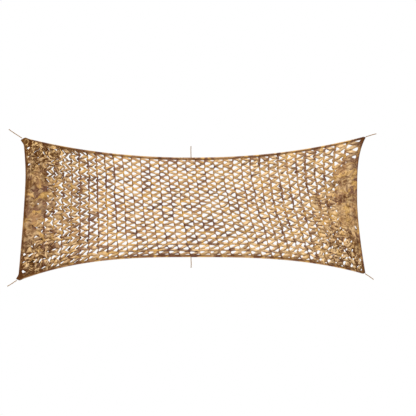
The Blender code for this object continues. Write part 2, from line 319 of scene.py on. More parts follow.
def net_points(along, across):
    """Points of the pulled-out net from its shares along and across.

    It is a blended patch: the two ruled surfaces between facing edges, less the one on the
    corners. At a corner the short edge ends a tip's width from the long one, and that gap
    is closed over a reach that grows away from the long edge. A gathered neck is drawn out.
    """
    long_ends, short_ends = {}, {}
    for corner, (_, _, _, neck, _, _) in CORNERS.items():
        roots = tip_points(corner, neck)
        long_ends[corner] = roots[LONG_EDGE_POINT[corner]]
        short_ends[corner] = roots[1 - LONG_EDGE_POINT[corner]]
    top = bowed(along, long_ends["top_left"], long_ends["top_right"],
                TOP_WAIST, 0, EDGE_POWERS["top"])
    bottom = bowed(along, long_ends["bottom_left"], long_ends["bottom_right"],
                   BOTTOM_WAIST, 0, EDGE_POWERS["bottom"])
    left = bowed(across, short_ends["bottom_left"], short_ends["top_left"],
                 LEFT_WAIST, 1, EDGE_POWERS["left"])
    right = bowed(across, short_ends["bottom_right"], short_ends["top_right"],
                  RIGHT_WAIST, 1, EDGE_POWERS["right"])
    u, v = along[..., None], across[..., None]
    net = bottom * (1.0 - v) + top * v + left * (1.0 - u) + right * u
    for corner, (_, _, _, neck, angle, _) in CORNERS.items():
        from_side = 1.0 - u if corner.endswith("right") else u
        from_long = 1.0 - v if corner.startswith("top") else v
        net -= long_ends[corner] * (1.0 - from_side) * (1.0 - from_long)
        reach = TIP_REACH + TIP_FADE * smooth_step(from_long * NET_WIDTH, 0.0, TIP_FADE)
        near = np.exp(-(from_side * NET_LENGTH / reach) ** 2)
        gap = short_ends[corner] - long_ends[corner]
        net -= gap * (1.0 - from_side) * (1.0 - from_long) * (1.0 - near)
        in_neck = np.exp(-(from_side * NET_LENGTH / NECK_REACH) ** 2
                         - (from_long * NET_WIDTH / NECK_REACH) ** 2)
        net += heading(angle) * neck * in_neck
    return net - NET_CENTRE


# Zones of the net, as shares along it or across it.
# A patch that stays closed: (centre along, centre across, half length, half width)
CLOSED_PATCHES = (
    (0.000, 0.62, 0.062, 0.28),
    (0.000, 0.32, 0.034, 0.14),
    (1.000, 0.55, 0.064, 0.30),
    (1.000, 0.22, 0.034, 0.12),
)
# Where the cloth is pulled more or less open than in the middle of the net.
# pull: (centre along, centre across, half length, half width, share of the full opening)
PULLS = (
    (0.00, 0.50, 0.330, 0.90, 0.71),
    (0.03, 0.95, 0.090, 0.16, 0.50),
    (0.01, 0.12, 0.110, 0.34, 0.46),
    (0.82, 0.62, 0.200, 0.46, 0.93),
    (0.90, 0.40, 0.070, 0.24, 0.45),
    (0.97, 0.10, 0.160, 0.38, 0.62),
    (0.60, 0.00, 0.500, 0.10, 0.80),
    (0.80, 1.00, 0.200, 0.20, 0.85),
    (0.075, 0.10, 0.040, 0.10, 1.70),
    (0.00, 0.00, 0.030, 0.08, 0.50),
    (0.00, 1.00, 0.045, 0.16, 0.45),
    (1.00, 1.00, 0.060, 0.20, 0.82),
)
# Where the cut leaves lie in disorder instead of in even rows.
# disorder: (centre along, centre across, half length, half width, amount)
DISORDERS = (
    (0.00, 0.50, 0.220, 0.90, 0.50),
    (0.03, 0.95, 0.170, 0.36, 1.00),
    (0.02, 0.05, 0.120, 0.30, 1.05),
    (1.00, 0.08, 0.230, 0.42, 1.10),
    (0.93, 0.50, 0.130, 0.60, 0.60),
    (0.74, 0.50, 0.280, 0.90, 0.40),
)
# The rim of such a zone, as shares of its half length and half width.
ZONE_RIM = (0.45, 1.15)
# Where the left half of the net goes over to the right half.
RIGHT_HALF = (0.4, 0.6)
# Slack columns at the left end, and the part of them whose leaf tips make chevrons.
SLACK_COLUMNS = (0.10, 0.36)
CHEVRON_COLUMNS = (0.08, 0.34)
# The low rows, whose openings are slanted.
LOW_ROWS = (0.08, 0.36)
# From here to the right end the openings are blunter, the painted highlights are stronger, and the
# leaf tips push in further, on the right lines and on the left ones.
BLUNT_COLUMNS = (0.52, 0.72)
HIGHLIGHT_COLUMNS = (0.52, 0.70)
DEEP_TIPS = (0.60, 0.80)
DEEP_BACK_TIPS = (0.62, 0.80)


def patch_depth(along, across):
    """How far inside the closed patches a place is: 1 on a rim, less inside."""
    depths = [np.hypot((along - a) / ra, (across - b) / rb) for a, b, ra, rb in CLOSED_PATCHES]
    return np.minimum.reduce(depths)


def disorder_at(along, across):
    """How far the leaves are out of their rows: 0 where they are even, 1 at the worst."""
    amounts = [amount * soft_fall(np.hypot((along - a) / ra, (across - b) / rb), *ZONE_RIM)
               for a, b, ra, rb, amount in DISORDERS]
    return np.maximum.reduce(amounts)


# Openings. Each stands on an upright line and runs to its point over a share of a column,
# and its half height and its shift are shares of a row.
OPENING_BASE = 0.026
OPENING_POINT = 0.54
POINT_SPREAD = 0.035
OPENING_HALF_HEIGHT = 0.285
MOST_HALF_HEIGHT = 0.40
HEM_ROW_HEIGHT = 0.75
# A quarter round makes this share of an opening, and a curve of this power the rest.
MOUTH_SHARE = 0.30
POINT_POWER = 0.52
# How a leaf that is pulled less shortens its opening, and the least that counts.
SLIT_POWER = 0.60
LEAST_PULL = 0.25
# The skew of an opening, its spread, its limit and how far from its line it begins.
OPENING_SKEW = 0.07
SLACK_SKEW = 1.5
DISORDER_SKEW = 0.26
MOST_SKEW = 0.40
SKEW_START = 0.12
# The slant of the low rows, with the share of it that their lines take up.
BOTTOM_SLANT = 0.34
LINE_SLANT = 0.38
LOW_ROW_THINNING = 0.10
# Blunter openings are this much shorter, and fuller in the first part of their column.
BLUNTNESS = 0.14
BLUNT_FULLNESS = 1.6
BLUNT_PART = (0.15, 0.50)
# The cuts wave in the closed patches.
CUT_WAVE = 0.15
WAVE_RIM = (0.9, 1.4)
# Sizes of single openings: their spread, the part of it that comes with a slack pull, limits.
SIZE_SPREAD = 0.14
SLACK_SIZE_SPREAD = 0.20
SIZE_LIMITS = (0.2, 1.7)
# Closed patches keep their openings shut inside this rim, but for a tenth that is part open.
SHUT_RIM = (0.92, 1.25)
PART_OPEN_RIM = 1.1
PART_OPEN_CHANCE = 0.10
PART_OPEN = 0.6
# Where the pull is below this, one leaf in twenty stays nearly shut.
SLACK_PULL = 0.8
STUCK_CHANCE = 0.05
STUCK = 0.3


def opening_profile(share, point):
    """Half height of an opening at a share across its column, from its base to its point.

    It is a quarter round at the base and falls off in a soft curve to the point.
    """
    way = np.clip((share - OPENING_BASE) / (point - OPENING_BASE), 0.0, 1.0)
    to_mouth = 1.0 - np.minimum(way / MOUTH_SHARE, 1.0)
    mouth = np.sqrt(np.clip(1.0 - to_mouth ** 2, 0.0, 1.0))
    return OPENING_HALF_HEIGHT * mouth * (1.0 - way) ** POINT_POWER


def openness(column, row, seed):
    """How wide the opening at a column and row is pulled, from 0 where its leaf stays shut."""
    along, across = (column + 0.5) / COLUMNS, np.clip(row / ROWS, 0.0, 1.0)
    draw = np.random.default_rng(seed)
    uneven = draw.normal(0.0, 1.0, (COLUMNS, ROWS + 1))[column, np.floor(row).astype(int)]
    chance = draw.uniform(0.0, 1.0, (COLUMNS, ROWS + 1))[column, np.floor(row).astype(int)]
    pull = np.ones(np.broadcast(along, across).shape)
    for centre_along, centre_across, length, width, share in PULLS:
        away = np.hypot((along - centre_along) / length, (across - centre_across) / width)
        pull *= blend(share, 1.0, smooth_step(away, *ZONE_RIM))
    depth = patch_depth(along, across)
    shut = smooth_step(depth, *SHUT_RIM)
    part_open = (chance > 1.0 - PART_OPEN_CHANCE) & (depth < PART_OPEN_RIM)
    shut = np.where(part_open, PART_OPEN, shut)
    shut = np.where((chance < STUCK_CHANCE) & (pull < SLACK_PULL), shut * STUCK, shut)
    spread = SIZE_SPREAD + SLACK_SIZE_SPREAD * (1.0 - np.minimum(pull, 1.0))
    return pull * shut * np.clip(1.0 + uneven * spread, *SIZE_LIMITS)


# Grid along the net: hem and margin, then the columns, then margin and hem again. Columns
# crowd together towards the ends.
END_CROWDING = 0.06
# Stations across one column: upright line, base of an opening, its mouth and its point.
COLUMN_STATIONS = np.array((0.0, 0.030, 0.050, 0.085, 0.14, 0.22, 0.32, 0.41, 0.50,
                            0.59, 0.68, 0.78, 0.86, 0.915, 0.950, 0.970))
# Distances from the cut edge to the hem's grid lines, and the height of the cloth on them.
HEM_STATIONS = np.array((0.0, 0.0015, 0.010, 0.0195, 0.0220, 0.0250))
HEM_HEIGHTS = np.array((0.0016, 0.0046, 0.0056, 0.0050, 0.0042, 0.0016))

hem_share = HEM_STATIONS / NET_LENGTH
lattice_start = (HEM_WIDTH + MARGIN) / NET_LENGTH
column_index = np.repeat(np.arange(COLUMNS), len(COLUMN_STATIONS))
column_share = np.tile(COLUMN_STATIONS, COLUMNS)
lattice_share = (column_index + column_share) / COLUMNS
lattice_share -= END_CROWDING * np.sin(2.0 * math.pi * lattice_share) / (2.0 * math.pi)
lattice_along = lattice_start + (1.0 - 2.0 * lattice_start) * lattice_share
along_line = np.concatenate((hem_share, lattice_along, [1.0 - lattice_start],
                             1.0 - hem_share[::-1]))
side_count = len(HEM_STATIONS)
column_index = np.concatenate((np.zeros(side_count, int), column_index,
                               np.full(side_count + 1, COLUMNS - 1)))
column_share = np.concatenate((np.zeros(side_count), column_share, np.ones(side_count + 1)))
line_count = len(along_line)
column_place = column_index[:, None] / COLUMNS
column_middle = (column_index[:, None] + 0.5) / COLUMNS
slack = soft_fall(column_place, *SLACK_COLUMNS)
blunt = smooth_step(column_place, *BLUNT_COLUMNS)


def opening_rows(rows, share, spreads, seed, slant, thinning, fullness, full_part):
    """Middles and half heights, in rows, of the openings that stand on one side's lines.

    The half height is the profile times the pull, thinned or filled by zone. The middle is
    the row, plus the skew times the share of the column from the line, plus the cut's wave.
    """
    point_spread, skew_spread, turn_spread = (spread[column_index] for spread in spreads)
    low = soft_fall(rows / ROWS, *LOW_ROWS)
    skew = (1.0 + SLACK_SKEW * slack) * skew_spread
    skew += slant * low
    skew += turn_spread * disorder_at(column_middle, rows / ROWS)
    skew = np.clip(skew, -MOST_SKEW, MOST_SKEW)
    pulled = openness(column_index[:, None], rows[None, :], seed)
    point = OPENING_BASE + (OPENING_POINT + point_spread - OPENING_BASE) * (
        1.0 - BLUNTNESS * blunt) * np.clip(pulled, LEAST_PULL, 1.0) ** SLIT_POWER
    half = opening_profile(share, point) * pulled ** (1.0 - 0.5 * SLIT_POWER)
    half *= 1.0 - thinning * slack + fullness * slack * soft_fall(share, *full_part)
    half *= 1.0 + BLUNT_FULLNESS * BLUNTNESS * blunt * soft_fall(share, *BLUNT_PART)
    half *= 1.0 - LOW_ROW_THINNING * low
    half = np.minimum(half, MOST_HALF_HEIGHT)
    depth = patch_depth(column_middle, rows / ROWS)
    wave = CUT_WAVE * soft_fall(depth, *WAVE_RIM) * np.sin(2.0 * math.pi * share)
    at_hem = (rows == 0.0) | (rows == ROWS)
    half[:, at_hem] *= HEM_ROW_HEIGHT
    skew[:, at_hem] = 0.0
    wave[:, at_hem] = 0.0
    low[at_hem] = 0.0
    middle = rows + skew * np.clip(share - SKEW_START, 0.0, 1.0) + wave
    return middle - LINE_SLANT * slant * low, half


# Openings that stand on the left line of a column lie half a row on from those on its right.
rows_left = np.arange(ROWS) + 0.5
rows_right = np.arange(ROWS + 1.0)
sides = [(COLUMNS, len(rows)) for rows in (rows_left, rows_right)]
draw = np.random.default_rng(8)
point_draws = [draw.normal(0.0, POINT_SPREAD, shape) for shape in sides]
skew_draws = [draw.normal(0.0, OPENING_SKEW, shape) for shape in sides]
draw = np.random.default_rng(9)
turn_draws = [draw.normal(0.0, DISORDER_SKEW, shape) for shape in sides]
spreads_left, spreads_right = zip(point_draws, skew_draws, turn_draws)
middle_left, half_left = opening_rows(
    rows_left, column_share[:, None], spreads_left, seed=3, slant=BOTTOM_SLANT,
    thinning=0.15, fullness=0.65, full_part=(0.10, 0.40))
middle_right, half_right = opening_rows(
    rows_right, 1.0 - column_share[:, None], spreads_right, seed=4, slant=-BOTTOM_SLANT,
    thinning=0.0, fullness=0.90, full_part=(0.10, 0.45))

net_height = (net_points(along_line, np.ones(line_count))
              - net_points(along_line, np.zeros(line_count)))[:, 1]
row_start = (HEM_WIDTH + MARGIN) / net_height

# Grid across the net, in bands: the low hem, each strip of ribbon between an opening below
# and one above, and the high hem. Each row keeps its share across, its row in the uncut
# cloth, its place across the ribbon and its strip's number.
RIBBON_STATIONS = np.array((0.0, 0.22, 0.5, 0.78, 1.0))

ones = np.ones(line_count)
low_hem = [station / net_height for station in HEM_STATIONS] + [row_start]
bands = [[(share, 0.0 * ones, 0.5, 0) for share in low_hem]]
for strip in range(2 * ROWS):
    row = strip // 2
    if strip % 2 == 0:
        low = middle_right[:, row] + half_right[:, row]
        high = middle_left[:, row] - half_left[:, row]
    else:
        low = middle_left[:, row] + half_left[:, row]
        high = middle_right[:, row + 1] - half_right[:, row + 1]
    band = []
    for station in RIBBON_STATIONS:
        place = low + (high - low) * station
        share = row_start + (1.0 - 2.0 * row_start) * place / ROWS
        band.append((share, (strip + station) / 2.0 * ones, station, strip))
    bands.append(band)
bands.append([(1.0 - share, ROWS * ones, 0.5, 2 * ROWS - 1) for share in low_hem[::-1]])

grid = [line for band in bands for line in band]
across_grid = np.array([line[0] for line in grid])
flat_grid = np.array([line[1] for line in grid])
ribbon_grid = np.array([line[2] for line in grid])[:, None] * ones
strip_grid = np.array([line[3] for line in grid])[:, None] * np.ones(line_count, int)
place_grid = (across_grid - row_start) / (1.0 - 2.0 * row_start) * ROWS
share_grid = np.broadcast_to(column_share, across_grid.shape)
index_grid = np.broadcast_to(column_index, across_grid.shape)
along_grid = np.broadcast_to(along_line, across_grid.shape)
across_ribbon = 2.0 * ribbon_grid - 1.0
between = np.sin(math.pi * share_grid) ** 2
edge_side = np.minimum(along_grid, 1.0 - along_grid) * NET_LENGTH

# A leaf's tip pushes into the base of each opening on a right line, as a notch in it, and at
# the two ends also into those on a left line. Depths and reaches are shares of a column.
NOTCH_DEPTH = 0.075
NOTCH_IN_MIDDLE, NOTCH_AT_LEFT, NOTCH_AT_RIGHT = 0.7, 3.2, 1.8
BACK_NOTCH_DEPTH = 0.24
BACK_NOTCH_AT_RIGHT = 0.5
NOTCH_RISE = (-0.20, -0.04)
NOTCH_FALL = (-0.02, 0.12)
NOTCH_POWER = 6
NOTCH_EDGE = (0.04, 0.12)
LEAF_SPREAD = 0.35
LEAF_LIMITS = (0.2, 1.8)

draw = np.random.default_rng(15)
leaf_draw = draw.normal(0.0, 1.0, (COLUMNS + 1, ROWS + 1))
line_number = index_grid + (share_grid > 0.5)
nearest_row = np.clip(np.round(place_grid), 0, ROWS).astype(int)
leaf_size = np.clip(1.0 + LEAF_SPREAD * leaf_draw, *LEAF_LIMITS)[line_number, nearest_row]
from_line = np.where(share_grid > 0.5, share_grid - 1.0, share_grid)
from_row = np.clip(place_grid - nearest_row, -0.5, 0.5)
from_half_row = np.abs(place_grid - np.floor(place_grid) - 0.5)
notch_row = np.cos(math.pi * from_row) ** NOTCH_POWER
back_row = np.cos(math.pi * from_half_row) ** NOTCH_POWER
inside_edge = smooth_step(edge_side, *NOTCH_EDGE)
notch = notch_row * soft_band(from_line, NOTCH_RISE, NOTCH_FALL) * inside_edge
back_notch = back_row * soft_band(-from_line, NOTCH_RISE, NOTCH_FALL) * inside_edge
notch_depth = NOTCH_DEPTH * leaf_size * (
    NOTCH_IN_MIDDLE + NOTCH_AT_LEFT * soft_fall(along_grid, *SLACK_COLUMNS)
    + NOTCH_AT_RIGHT * smooth_step(along_grid, *DEEP_TIPS))
back_depth = BACK_NOTCH_DEPTH * leaf_size * (
    soft_fall(along_grid, *CHEVRON_COLUMNS)
    + BACK_NOTCH_AT_RIGHT * smooth_step(along_grid, *DEEP_BACK_TIPS))

# The columns lean, more towards the right end, and lines and rows sway a little.
LEAN = 0.105
LEAN_END_POWER = 10
LEAN_START = 0.02
# sway along and drift across: (share of the net, pace along, pace across, seed)
SWAYS = ((0.0016, 40.0, 14.0, 11), (0.0013, 95.0, 46.0, 13))
DRIFTS = ((0.0080, 26.0, 5.0, 12), (0.0038, 90.0, 40.0, 14))
# How far disorder pushes a leaf along and across, and the strip inside the edge that it spares.
DISORDER_PUSH = (0.009, 0.012)
PUSH_EDGE = (0.025, 0.090)
# Unevenness of the cloth: (pace along and pace across, in radians to a metre, and seed)
CLOTH_NOISE = {
    "push_along": (38.0, 38.0, 71),
    "push_across": (38.0, 38.0, 72),
    "bend": (12.0, 12.0, 33),
    "creases": (75.0, 46.0, 35),
    "creased_parts": (16.0, 16.0, 36),
    "crumples": (95.0, 95.0, 31),
    "swells": (38.0, 38.0, 32),
    "pull_folds": (22.0, 22.0, 41),
    "pinches": (50.0, 70.0, 61),
    "hem_line_fading": (24.0, 24.0, 62),
    "mottling": (24.0, 30.0, 63),
    "curls": (34.0, 34.0, 51),
    "ridges": (46.0, 46.0, 64),
    "ridged_parts": (20.0, 20.0, 65),
}


def smooth_noise(x, y, seed, waves=7):
    """Even noise, mostly from -1 to 1: a sum of sine waves at seeded directions and phases,
    divided by the square root of their number."""
    draw = np.random.default_rng(seed)
    total = np.zeros(np.broadcast(x, y).shape)
    for _ in range(waves):
        direction, phase = draw.uniform(0.0, 2.0 * math.pi, 2)
        pace = draw.uniform(0.6, 1.4)
        total += np.sin(pace * (x * math.cos(direction) + y * math.sin(direction)) + phase)
    return total / math.sqrt(waves)


def cloth_noise(kind, x, y):
    """One kind of the cloth's unevenness, at points that are in metres."""
    pace_along, pace_across, seed = CLOTH_NOISE[kind]
    return smooth_noise(x * pace_along, y * pace_across, seed)


def wander(waves):
    """The sum of a table's waves over the grid, in shares of the net."""
    return sum(amount * smooth_noise(along_grid * pace_along, across_grid * pace_across, seed)
               for amount, pace_along, pace_across, seed in waves)


free = np.sqrt(np.sin(math.pi * along_grid) * np.sin(math.pi * np.clip(across_grid, 0.0, 1.0)))
lean = LEAN * along_grid * (1.0 - along_grid ** LEAN_END_POWER) * (across_grid - 0.5)
lean *= smooth_step(np.minimum(along_grid, 1.0 - along_grid), 0.0, LEAN_START)
moved_along = along_grid - lean + wander(SWAYS) * free
moved_along += (back_depth * back_notch - notch_depth * notch) / COLUMNS
moved_across = across_grid + wander(DRIFTS) * free
ground = net_points(np.clip(moved_along, 0.0, 1.0), np.clip(moved_across, 0.0, 1.0))
from_long = np.minimum(across_grid, 1.0 - across_grid) * net_height
from_edge = np.minimum(from_long, edge_side)
disorder = disorder_at(along_grid, across_grid)
push = disorder * smooth_step(from_edge, *PUSH_EDGE)
even_x, even_y = ground[..., 0].copy(), ground[..., 1].copy()
ground[..., 0] += DISORDER_PUSH[0] * push * cloth_noise("push_along", even_x, even_y)
ground[..., 1] += DISORDER_PUSH[1] * push * cloth_noise("push_across", even_x, even_y)
x, y = ground[..., 0], ground[..., 1]

# Height: the hem lies on the surface, and inside it the lines lie low and the ribbons rise,
# arch and twist between them, each by its own amount.
LINE_LIFT = 0.003
RIBBON_LIFT = 0.010
RIBBON_TWIST = 0.011
RIBBON_ARCH = 0.006
TIP_LIFT = 0.010
TWIST_MEAN, TWIST_SPREAD, TWIST_LIMIT = 0.25, 0.75, 1.2
ARCH_MEAN, ARCH_SPREAD = 0.8, 0.6
CLOSED_RIM = (0.9, 1.5)
CLOSED_LIFT = 0.0050
# In the closed patches the ribbons stand at this share of their height, inside this rim.
CLOSED_RIBBON = 0.45
CLOSED_RIBBON_RIM = (0.7, 1.3)
# Creases wind through the closed patches: half width in noise, how far they bend, depth.
CREASE_WIDTH = 0.36
CREASE_BEND = 0.03
CREASE_DEPTH = 0.0050
CREASED_PARTS = (-0.9, 0.5)
CRUMPLE_HEIGHT = 0.0030
SWELL_HEIGHT = 0.0026
# The highest that cloth stands, the strip in which it rises off the surface, and the hem.
FOLD_TOP = 0.052
RISE = (0.028, 0.075)
HEM_REACH = 0.030
CLOTH_LIFT = 0.0016
# fold: (start along, start across, end along, end across, half width, height)
FOLDS = (
    (0.010, 0.12, 0.016, 0.86, 0.055, 0.018),
    (0.034, 0.20, 0.040, 0.74, 0.060, 0.026),
    (0.060, 0.30, 0.058, 0.66, 0.050, 0.015),
    (0.012, 0.93, 0.080, 0.80, 0.050, 0.024),
    (0.030, 0.98, 0.140, 0.90, 0.045, 0.018),
    (0.014, 0.80, 0.050, 0.56, 0.045, 0.017),
    (0.020, 0.06, 0.075, 0.22, 0.050, 0.018),
    (0.986, 0.20, 0.990, 0.82, 0.050, 0.018),
    (0.962, 0.16, 0.955, 0.72, 0.060, 0.026),
    (0.938, 0.34, 0.946, 0.60, 0.045, 0.015),
    (0.930, 0.78, 0.990, 0.90, 0.045, 0.014),
    (0.925, 0.12, 0.985, 0.07, 0.045, 0.014),
)
# Folds that fan out from each corner's tie. corner: (how high they stand, how far they run)
PULL_FOLDS = {"top_left": (0.011, 0.42), "top_right": (0.005, 0.30),
              "bottom_right": (0.009, 0.36), "bottom_left": (0.010, 0.38)}
HIGHEST_PULL_FOLD = 0.011
PULL_FOLD_PACE = 21.0
PULL_FOLD_WANDER = 1.8


def ridge_height(points):
    """Height of the named folds over points: each is a bell across a straight run."""
    height = np.zeros(points.shape[:-1])
    for start_along, start_across, end_along, end_across, half_width, fold_height in FOLDS:
        ends = net_points(np.array((start_along, end_along)), np.array((start_across, end_across)))
        run = ends[1] - ends[0]
        way = np.clip(((points - ends[0]) @ run) / (run @ run), 0.0, 1.0)
        away = np.linalg.norm(points - ends[0] - way[..., None] * run, axis=-1) / half_width
        height = np.maximum(height, fold_height * np.exp(-away ** 2))
    return height


draw = np.random.default_rng(23)
twist_draw = draw.normal(TWIST_MEAN, TWIST_SPREAD, (COLUMNS, 2 * ROWS))
arch_draw = draw.normal(ARCH_MEAN, ARCH_SPREAD, (COLUMNS, 2 * ROWS))
twist_amount = np.clip(twist_draw, -TWIST_LIMIT, TWIST_LIMIT)[index_grid, strip_grid]
twist = RIBBON_TWIST * twist_amount * across_ribbon
arch = RIBBON_ARCH * arch_draw[index_grid, strip_grid] * (1.0 - across_ribbon ** 2)
depth = patch_depth(along_grid, across_grid)
looseness = blend(CLOSED_RIBBON, 1.0, smooth_step(depth, *CLOSED_RIBBON_RIM))
ribbon_height = (RIBBON_LIFT + twist + arch) * np.sqrt(between) * looseness
closed = soft_fall(depth, *CLOSED_RIM)
bent = x + CREASE_BEND * cloth_noise("bend", x, y)
crease = np.exp(-(cloth_noise("creases", bent, y) / CREASE_WIDTH) ** 2)
crease *= closed * smooth_step(cloth_noise("creased_parts", x, y), *CREASED_PARTS)
crumple = (CRUMPLE_HEIGHT * cloth_noise("crumples", x, y)
           + SWELL_HEIGHT * cloth_noise("swells", x, y)
           - CREASE_DEPTH * crease + CLOSED_LIFT * closed)

from_tips = {}
pull_fold, pull_mark, gathered = (np.zeros(x.shape) for _ in range(3))
for corner, (stand, reach) in PULL_FOLDS.items():
    tip_x, tip_y = np.array(CORNERS[corner][:2]) - NET_CENTRE
    from_tips[corner] = np.hypot(x - tip_x, y - tip_y)
    near = np.exp(-(from_tips[corner] / reach) ** 2)
    bearing = np.arctan2(y - tip_y, x - tip_x)
    wave = np.cos(bearing * PULL_FOLD_PACE
                  + PULL_FOLD_WANDER * cloth_noise("pull_folds", x, y))
    pull_fold += stand * near * wave
    pull_mark += near * wave * stand / HIGHEST_PULL_FOLD
    gathered += near * stand / HIGHEST_PULL_FOLD

inset = smooth_step(from_edge, *RISE)
lifted = (LINE_LIFT + ribbon_height + TIP_LIFT * notch * leaf_size + ridge_height(ground)
          + crumple + np.maximum(pull_fold, -LINE_LIFT)) * inset
height_grid = FOLD_TOP * np.tanh(np.maximum(lifted, 0.0) / FOLD_TOP)
hem_profile = np.interp(from_edge, HEM_STATIONS, HEM_HEIGHTS)
height_grid += np.where(from_edge < HEM_REACH, hem_profile, CLOTH_LIFT)

# Marks painted on the cloth, each from 0 to 1, most of them painted shade. A pinched line gets
# painted shade here and there, over this share of a column, and so does the cloth round a leaf's
# tip.
LINE_MARK = 0.05
PINCHED_PARTS = (-0.6, 1.0)
PINCHED_PARTS_RIGHT = (-0.2, 1.0)
TIP_MARK_RISE = (-0.14, -0.05)
TIP_MARK_FALL = (0.01, 0.08)
BACK_TIP_MARK = 0.8
TIP_MARK_CLOSED = 0.15
LIP_POWER = 4
# Painted shade in the valleys between the folds that fan out from a tie, at the gathers at each
# tip, and over the packed leaves at the tip that is gathered most.
VALLEY = (-0.1, 0.6)
TIP_GATHER = 0.10
PACKED_REACH = 0.50
MOTTLED_PARTS = (-0.5, 0.9)
# Marks fade out over this strip, towards the hem's edge.
COVER = (0.012, 0.034)

right_side = smooth_step(along_grid, *RIGHT_HALF)
pinched_from = blend(PINCHED_PARTS[0], PINCHED_PARTS_RIGHT[0], right_side)
line_mark = np.exp(-(from_line / LINE_MARK) ** 2) * (1.0 - closed)
line_mark *= smooth_step(cloth_noise("pinches", x, y), pinched_from, PINCHED_PARTS[1])
tip_mark = notch_row * soft_band(from_line, TIP_MARK_RISE, TIP_MARK_FALL)
back_mark = back_row * soft_band(-from_line, TIP_MARK_RISE, TIP_MARK_FALL)
back_mark *= BACK_TIP_MARK * soft_fall(along_grid, *CHEVRON_COLUMNS)
tip_mark = np.maximum(tip_mark, back_mark) * blend(1.0, TIP_MARK_CLOSED, closed)
lip_mark = np.abs(across_ribbon) ** LIP_POWER * between
valley_mark = smooth_step(-pull_mark, *VALLEY)
gather_mark = np.exp(-(np.minimum.reduce(list(from_tips.values())) / TIP_GATHER) ** 2)
packed = np.exp(-(from_tips["top_left"] / PACKED_REACH) ** 2)
mottled = smooth_step(cloth_noise("mottling", x, y), *MOTTLED_PARTS)
covered = smooth_step(from_edge, *COVER)

# The low half of each ribbon is in the shade of the one above. The shade is deeper in the
# right half, at the slack left end and in the low rows of the left half.
UNDER_SHADE, UNDER_SHADE_RIGHT = 0.30, 0.42
UNDER_SHADE_SLACK = 0.14
UNDER_SHADE_LOW = 0.20
UNDER_LOW_ROWS = (0.08, 0.30)
UNDER_PART = (0.1, 0.9)
under_mark = (blend(UNDER_SHADE, UNDER_SHADE_RIGHT, right_side)
              + UNDER_SHADE_SLACK * soft_fall(along_grid, *SLACK_COLUMNS)
              + UNDER_SHADE_LOW * soft_fall(across_grid, *UNDER_LOW_ROWS) * (1.0 - right_side))
under_mark *= smooth_step(-across_ribbon, *UNDER_PART) * np.sqrt(between) * (1.0 - closed)

# The hem's turn is a dark line, partly the stitched cloth's own darker tone and partly painted
# shade beside the turn, fainter here and there. Near the left end it is broad and at full
# strength, more so on the high hem than on the low one.
BROAD_ON_HIGH_HEM = (0.12, 0.35)
BROAD_ON_LOW_HEM = (0.06, 0.20)
LOW_HEM_SHARE = 0.7
# Where a line begins and ends, in metres from the edge.
THIN_LINE = ((0.008, 0.017), (0.030, 0.048))
BROAD_LINE = ((0.002, 0.009), (0.060, 0.098))
SIDE_LINE = (0.022, 0.060)
SIDE_LINE_RIGHT = (0.010, 0.030)
FAINTEST_HEM_LINE = 0.55
FULL_HEM_LINE_NEAR_LEFT = 0.9
FAINT_HEM_PARTS = (-0.8, 0.9)
near_left = np.where(across_grid > 0.5, soft_fall(along_grid, *BROAD_ON_HIGH_HEM),
                     LOW_HEM_SHARE * soft_fall(along_grid, *BROAD_ON_LOW_HEM))
line_rise, line_fall = ([blend(thin, broad, near_left) for thin, broad in zip(*limits)]
                        for limits in zip(THIN_LINE, BROAD_LINE))
long_line = soft_band(from_long, line_rise, line_fall)
side_line = soft_fall(edge_side, *(blend(left, right, right_side)
                                   for left, right in zip(SIDE_LINE, SIDE_LINE_RIGHT)))
hem_line_strength = blend(FAINTEST_HEM_LINE, 1.0, smooth_step(cloth_noise("hem_line_fading", x, y), *FAINT_HEM_PARTS))
hem_mark = np.maximum(long_line, side_line) * np.maximum(hem_line_strength, FULL_HEM_LINE_NEAR_LEFT * near_left)

# Painted shade inside the hem: in the pinched lines, round the leaf tips, at the ribbons' lips and
# low halves, in the creases, fold valleys and gathered corners, and where leaves lie in disorder;
# the mottled marks make soft patches darker. (mark, depth on the left, depth on the right)
SHADES = (
    (line_mark, 0.34, 0.14),
    (tip_mark, 0.95, 0.47),
    (lip_mark, 0.10, 0.10),
    (under_mark, 1.00, 1.00),
    (crease, 0.40, 0.40),
    (valley_mark, 0.70, 0.70),
    (gathered, 0.62, 0.62),
    (disorder, 0.15, 0.15),
    (packed, 0.12, 0.12),
    (mottled * packed, 0.42, 0.42),
    (mottled * closed, 0.32, 0.22),
    (mottled * disorder, 0.16, 0.16),
)
HEM_SHADE = 0.85
GATHER_SHADE = 0.70
DARKEST = 0.92
painted_shade_values = covered * sum(blend(left, right, right_side) * mark
                             for mark, left, right in SHADES)
painted_shade_values += HEM_SHADE * hem_mark + GATHER_SHADE * gather_mark
painted_shade_values = np.clip(painted_shade_values, 0.0, DARKEST)

# Loose leaves lie over one another where they are in disorder, in the closed cloth at both
# ends and at the imported tip, and get strokes of painted shade and painted highlight there.
LOOSE_CLOSED, LOOSE_CLOSED_RIGHT = 0.16, 0.34
LOOSE_PACKED = 0.9
CLOSED_DISORDER = 0.35
leaf_gap_shade_and_highlight_values = covered * (disorder * blend(1.0, CLOSED_DISORDER, closed)
                          + blend(LOOSE_CLOSED, LOOSE_CLOSED_RIGHT, right_side) * closed
                          + LOOSE_PACKED * packed)

